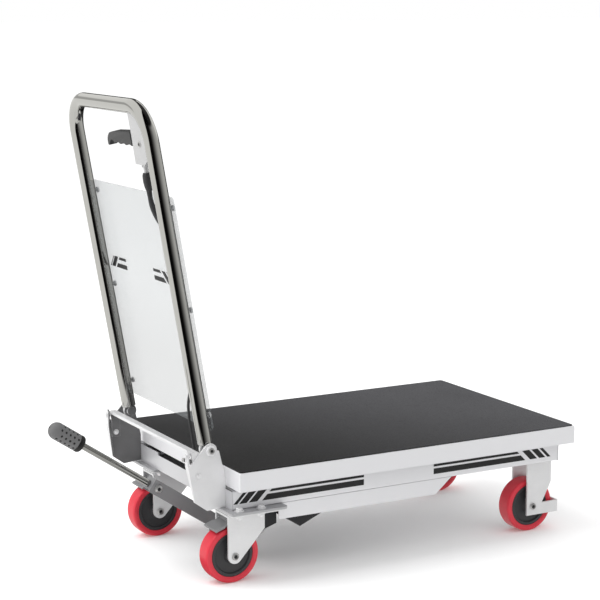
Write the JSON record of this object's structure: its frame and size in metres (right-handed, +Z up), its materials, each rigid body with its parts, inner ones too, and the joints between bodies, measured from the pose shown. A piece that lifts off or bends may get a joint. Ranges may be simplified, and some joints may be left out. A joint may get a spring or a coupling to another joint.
{
  "type": "scissor lift table cart",
  "caption": "Low lift table cart: flat platform on a hydraulic scissor, with a foot pump pedal, fold-down push handle with release lever, braked swivel rear casters and fixed front casters.",
  "frame": {"origin": "on the floor, under the middle of the cart's outline with the platform down and the handle up", "axes": "+X from the handle end to the front, +Y to the left, +Z up"},
  "size_m": [0.97, 0.45, 0.8306],
  "materials": {
    "silver_paint": "satin light silver-grey",
    "zinc_plate": "bright zinc plate",
    "chrome": "polished chrome",
    "steel": "bare machined steel",
    "grey_paint": "satin dark grey",
    "black_paint": "semi-gloss black",
    "mat_rubber": "black pebbled sheet",
    "red_tread": "smooth red polyurethane",
    "hub_plastic": "dark grey moulded",
    "black_plastic": "black moulded",
    "black_rubber": "black soft",
    "clear_panel": "frosted clear acrylic"
  },
  "bodies": {
    "base": {"base_rail_left": "silver_paint", "base_rail_right": "silver_paint", "base_cross_plates": "silver_paint", "base_skirts": "silver_paint", "pump_bed": "silver_paint", "pump_block": "grey_paint", "oil_reservoir": "black_paint", "rear_caster_ledges": "silver_paint", "rear_caster_heads": "zinc_plate", "front_fork_left": "zinc_plate", "front_fork_right": "zinc_plate", "base_fasteners": "steel", "base_pivot_pins": "steel", "handle_cheek_left": "zinc_plate", "handle_cheek_right": "zinc_plate", "cheek_tie_bar": "zinc_plate", "handle_pivot_bolts": "steel", "release_cable_loop": "black_rubber"},
    "outer_arm_pair": {"outer_arms": "silver_paint", "upper_roller_shaft": "steel", "arm_centre_pins": "steel"},
    "inner_arm_pair": {"inner_arms": "silver_paint", "inner_tie_bar": "silver_paint", "lower_roller_shaft": "steel"},
    "upper_roller_pair": {"upper_rollers": "steel"},
    "lower_roller_pair": {"lower_rollers": "steel"},
    "platform": {"platform_tray": "silver_paint", "platform_mat": "mat_rubber", "platform_tracks": "silver_paint", "platform_pivot_pins": "steel"},
    "barrel": {"cylinder_barrel": "black_paint"},
    "rod": {"cylinder_rod": "chrome"},
    "handle": {"handle_tube": "chrome", "handle_leaves": "zinc_plate", "handle_panel": "clear_panel", "panel_bolts": "steel", "lever_bracket": "zinc_plate", "cable_boot": "black_rubber", "release_cable": "black_rubber"},
    "lever": {"release_lever": "black_plastic"},
    "pedal": {"pedal_channel": "grey_paint", "pedal_rod": "chrome", "pedal_grip": "black_rubber"},
    "plunger": {"pump_plunger": "steel"},
    "latch": {"latch_pawl": "grey_paint"},
    "valve": {"valve_arm": "steel"},
    "rear_caster_left": {"rear_fork_left": "zinc_plate", "rear_axle_bolt_left": "steel"},
    "brake_left": {"brake_pedal_left": "grey_paint"},
    "wheel_rear_left": {"tyre_rear_left": "red_tread", "hub_rear_left": "hub_plastic"},
    "wheel_front_left": {"tyre_front_left": "red_tread", "hub_front_left": "hub_plastic"},
    "rear_caster_right": {"rear_fork_right": "zinc_plate", "rear_axle_bolt_right": "steel"},
    "brake_right": {"brake_pedal_right": "grey_paint"},
    "wheel_rear_right": {"tyre_rear_right": "red_tread", "hub_rear_right": "hub_plastic"},
    "wheel_front_right": {"tyre_front_right": "red_tread", "hub_front_right": "hub_plastic"}
  },
  "joints": [
    {"name": "lift", "type": "hinge", "parent": "base", "child": "outer_arm_pair", "pos_m": [-0.175, 0, 0.1543], "axis": [0, -1, 0], "range_deg": [0, 58.48]},
    {"name": "scissor_centre", "type": "hinge", "parent": "outer_arm_pair", "child": "inner_arm_pair", "pos_m": [0.13445, 0, 0.17275], "axis": [0, -1, 0], "range_deg": [-117.46, 0]},
    {"name": "platform_level", "type": "hinge", "parent": "inner_arm_pair", "child": "platform", "pos_m": [-0.175, 0, 0.1912], "axis": [0, -1, 0], "range_deg": [0, 58.98]},
    {"name": "upper_roller_spin", "type": "hinge", "parent": "outer_arm_pair", "child": "upper_roller_pair", "pos_m": [0.4439, 0, 0.1912], "axis": [0, 1, 0], "continuous": true},
    {"name": "lower_roller_spin", "type": "hinge", "parent": "inner_arm_pair", "child": "lower_roller_pair", "pos_m": [0.4439, 0, 0.1543], "axis": [0, 1, 0], "continuous": true},
    {"name": "cylinder_swing", "type": "hinge", "parent": "base", "child": "barrel", "pos_m": [-0.0061, 0, 0.0991], "axis": [0, -1, 0], "range_deg": [0, 65.65]},
    {"name": "rod_slide", "type": "slide", "parent": "barrel", "child": "rod", "axis": [0.9212, 0, 0.3891], "range_m": [0, 0.08029]},
    {"name": "handle_fold", "type": "hinge", "parent": "base", "child": "handle", "pos_m": [-0.246, 0, 0.242], "axis": [0, -1, 0], "range_deg": [-100, 0], "deforming": ["release_cable_loop"]},
    {"name": "release_squeeze", "type": "hinge", "parent": "handle", "child": "lever", "pos_m": [-0.33699, -0.127, 0.75804], "axis": [0.9848, 0, 0.1736], "range_deg": [0, 14], "stiffness_Nm_per_rad": 1, "springref_deg": -5.73},
    {"name": "valve_turn", "type": "hinge", "parent": "base", "child": "valve", "pos_m": [-0.143, -0.0838, 0.118], "axis": [0, -1, 0], "range_deg": [0, 28.5], "deforming": ["release_cable_loop"]},
    {"name": "foot_pedal", "type": "hinge", "parent": "base", "child": "pedal", "pos_m": [-0.173, -0.05, 0.0732], "axis": [0, -1, 0], "range_deg": [0, 24], "stiffness_Nm_per_rad": 8, "springref_deg": -20.05},
    {"name": "plunger_stroke", "type": "slide", "parent": "base", "child": "plunger", "axis": [1, 0, 0], "range_m": [0, 0.0092]},
    {"name": "latch_turn", "type": "hinge", "parent": "base", "child": "latch", "pos_m": [-0.269, -0.16, 0.221], "axis": [0, -1, 0], "range_deg": [0, 20], "stiffness_Nm_per_rad": 0.05, "springref_deg": -11.46},
    {"name": "swivel_left", "type": "hinge", "parent": "base", "child": "rear_caster_left", "pos_m": [-0.177, 0.154, 0.12], "axis": [0, 0, 1], "continuous": true},
    {"name": "brake_left", "type": "hinge", "parent": "rear_caster_left", "child": "brake_left", "pos_m": [-0.203, 0.154, 0.11175], "axis": [0, -1, 0], "range_deg": [0, 9]},
    {"name": "wheel_rear_left", "type": "hinge", "parent": "rear_caster_left", "child": "wheel_rear_left", "pos_m": [-0.201, 0.154, 0.05], "axis": [0, 1, 0], "continuous": true},
    {"name": "wheel_front_left", "type": "hinge", "parent": "base", "child": "wheel_front_left", "pos_m": [0.425, 0.154, 0.05], "axis": [0, 1, 0], "continuous": true},
    {"name": "swivel_right", "type": "hinge", "parent": "base", "child": "rear_caster_right", "pos_m": [-0.177, -0.154, 0.12], "axis": [0, 0, 1], "continuous": true},
    {"name": "brake_right", "type": "hinge", "parent": "rear_caster_right", "child": "brake_right", "pos_m": [-0.203, -0.154, 0.11175], "axis": [0, -1, 0], "range_deg": [0, 9]},
    {"name": "wheel_rear_right", "type": "hinge", "parent": "rear_caster_right", "child": "wheel_rear_right", "pos_m": [-0.201, -0.154, 0.05], "axis": [0, 1, 0], "continuous": true},
    {"name": "wheel_front_right", "type": "hinge", "parent": "base", "child": "wheel_front_right", "pos_m": [0.425, -0.154, 0.05], "axis": [0, 1, 0], "continuous": true}
  ],
  "couplings": [
    {"joint": "scissor_centre", "follows": "lift", "ratio": -2},
    {"joint": "platform_level", "follows": "lift", "ratio": 1},
    {"joint": "cylinder_swing", "follows": "lift", "ratio": 1.1141},
    {"joint": "rod_slide", "follows": "lift", "m_per_rad": 0.078178},
    {"joint": "valve_turn", "follows": "release_squeeze", "ratio": 2},
    {"joint": "plunger_stroke", "follows": "foot_pedal", "m_per_rad": 0.0214}
  ]
}
